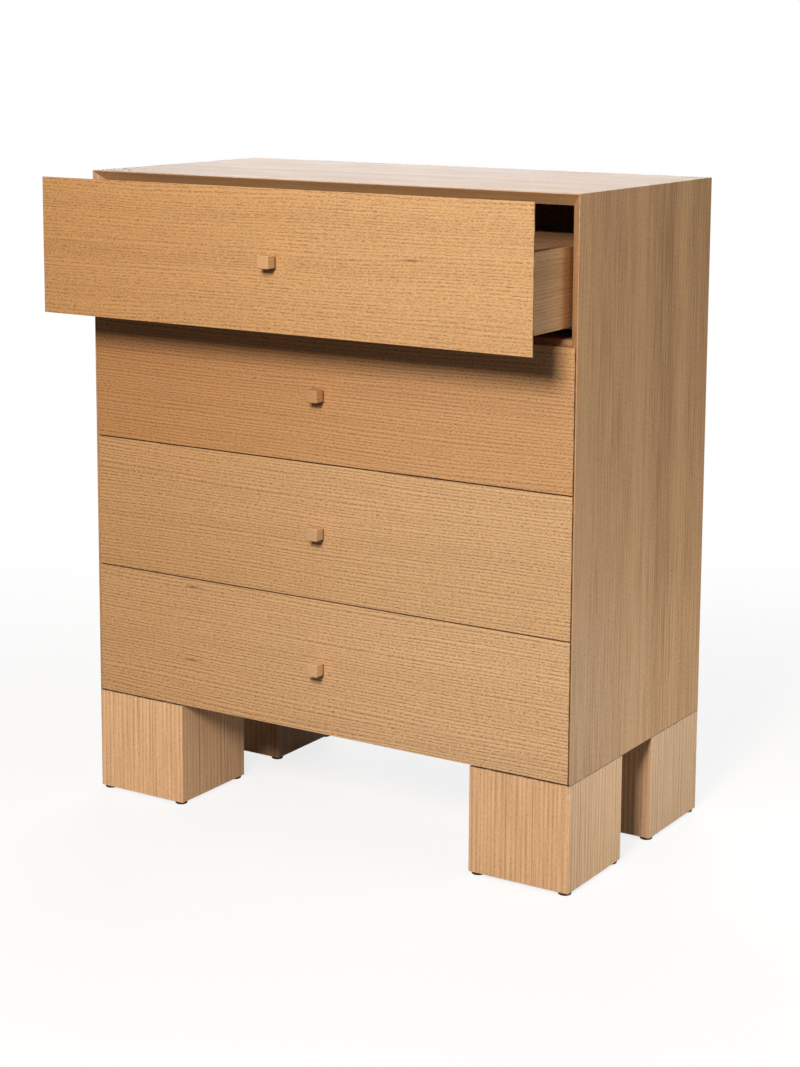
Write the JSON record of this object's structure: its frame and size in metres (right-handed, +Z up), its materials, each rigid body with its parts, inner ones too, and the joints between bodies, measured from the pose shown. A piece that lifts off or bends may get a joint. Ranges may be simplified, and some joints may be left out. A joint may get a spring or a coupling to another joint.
{
  "type": "chest of drawers",
  "caption": "Flat-fronted oak chest of drawers: a mitred carcass on square block feet, full-width fronts with small square knobs, the top drawer standing open.",
  "frame": {"origin": "on the floor under the middle of the carcass", "axes": "+Z up, -Y the way the drawers open, +X to the right of a person facing the drawers"},
  "size_m": [0.8, 0.534, 0.936],
  "materials": {
    "front_oak": "oak veneer laid with the grain running across, matt oiled, fine dark pores",
    "carcass_oak": "oak veneer, matt oiled; grain runs up the sides and along the top",
    "foot_oak": "solid oak glued up from staves, grain upright, matt oiled",
    "knob_oak": "solid oak with eased edges, end grain to the front, matt oiled",
    "rail_oak": "oak veneered board, matt",
    "drawer_side_board": "drawer box boards, matt, lighter raw top edges",
    "drawer_floor_board": "thin board, matt",
    "back_board": "thin veneered board, matt",
    "joint_beech": "raw beech and plywood, hidden in the joints",
    "runner_steel": "bent sheet steel, zinc plated, dull",
    "plated_steel": "zinc plated screws and bolts",
    "glide_plastic": "dark brown moulded plastic"
  },
  "bodies": {
    "carcass": {"top_panel": "carcass_oak", "bottom_panel": "carcass_oak", "left_side_panel": "carcass_oak", "right_side_panel": "carcass_oak", "back_panel": "back_board", "lower_rail": "rail_oak", "middle_rail": "rail_oak", "upper_rail": "rail_oak", "front_left_foot": "foot_oak", "front_right_foot": "foot_oak", "rear_left_foot": "foot_oak", "rear_right_foot": "foot_oak", "front_left_foot_glides": "glide_plastic", "front_right_foot_glides": "glide_plastic", "rear_left_foot_glides": "glide_plastic", "rear_right_foot_glides": "glide_plastic", "foot_bolts": "plated_steel", "mitre_tongues": "joint_beech", "rail_dowels": "joint_beech", "runner_screws": "plated_steel", "back_screws": "plated_steel", "top_cabinet_runners": "runner_steel", "second_cabinet_runners": "runner_steel", "third_cabinet_runners": "runner_steel", "bottom_cabinet_runners": "runner_steel"},
    "top_drawer": {"top_drawer_front": "front_oak", "top_drawer_left_side": "drawer_side_board", "top_drawer_right_side": "drawer_side_board", "top_drawer_back": "drawer_side_board", "top_drawer_floor": "drawer_floor_board", "top_drawer_knob": "knob_oak", "top_drawer_knob_screw": "plated_steel", "top_drawer_slides": "runner_steel"},
    "second_drawer": {"second_drawer_front": "front_oak", "second_drawer_left_side": "drawer_side_board", "second_drawer_right_side": "drawer_side_board", "second_drawer_back": "drawer_side_board", "second_drawer_floor": "drawer_floor_board", "second_drawer_knob": "knob_oak", "second_drawer_knob_screw": "plated_steel", "second_drawer_slides": "runner_steel"},
    "third_drawer": {"third_drawer_front": "front_oak", "third_drawer_left_side": "drawer_side_board", "third_drawer_right_side": "drawer_side_board", "third_drawer_back": "drawer_side_board", "third_drawer_floor": "drawer_floor_board", "third_drawer_knob": "knob_oak", "third_drawer_knob_screw": "plated_steel", "third_drawer_slides": "runner_steel"},
    "bottom_drawer": {"bottom_drawer_front": "front_oak", "bottom_drawer_left_side": "drawer_side_board", "bottom_drawer_right_side": "drawer_side_board", "bottom_drawer_back": "drawer_side_board", "bottom_drawer_floor": "drawer_floor_board", "bottom_drawer_knob": "knob_oak", "bottom_drawer_knob_screw": "plated_steel", "bottom_drawer_slides": "runner_steel"}
  },
  "joints": [
    {"name": "top_drawer_slide", "type": "slide", "parent": "carcass", "child": "top_drawer", "axis": [0, -1, 0], "range_m": [-0.113, 0.112]},
    {"name": "second_drawer_slide", "type": "slide", "parent": "carcass", "child": "second_drawer", "axis": [0, -1, 0], "range_m": [0, 0.225]},
    {"name": "third_drawer_slide", "type": "slide", "parent": "carcass", "child": "third_drawer", "axis": [0, -1, 0], "range_m": [0, 0.225]},
    {"name": "bottom_drawer_slide", "type": "slide", "parent": "carcass", "child": "bottom_drawer", "axis": [0, -1, 0], "range_m": [0, 0.225]}
  ]
}
